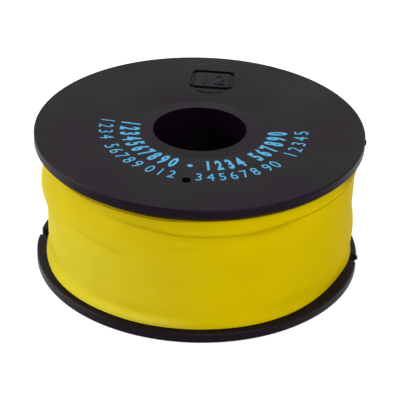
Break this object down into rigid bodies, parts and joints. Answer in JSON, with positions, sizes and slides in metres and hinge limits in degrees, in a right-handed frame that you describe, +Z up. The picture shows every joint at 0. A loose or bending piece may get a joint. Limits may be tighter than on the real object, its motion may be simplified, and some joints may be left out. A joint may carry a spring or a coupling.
{
  "type": "air core inductor",
  "caption": "Air core inductor: enamelled copper wire wound on a flanged black plastic bobbin with a through bore, taped round the outside.",
  "frame": {"origin": "middle of the lower flange's underside, on the bore axis", "axes": "+Z up along the bore axis, from the lower flange with the two lead slots to the upper flange with the lead hole; the slots lie on X, the lead hole on -Y"},
  "size_m": [0.095, 0.095, 0.0422],
  "materials": {
    "bobbin_plastic": "black moulded plastic with a fine satin grain",
    "enamelled_copper": "copper wire under clear reddish enamel",
    "yellow_tape": "semi-gloss yellow polyester tape"
  },
  "bodies": {
    "root": {"bobbin": "bobbin_plastic", "winding": "enamelled_copper", "tape_wrap": "yellow_tape"}
  },
  "joints": []
}
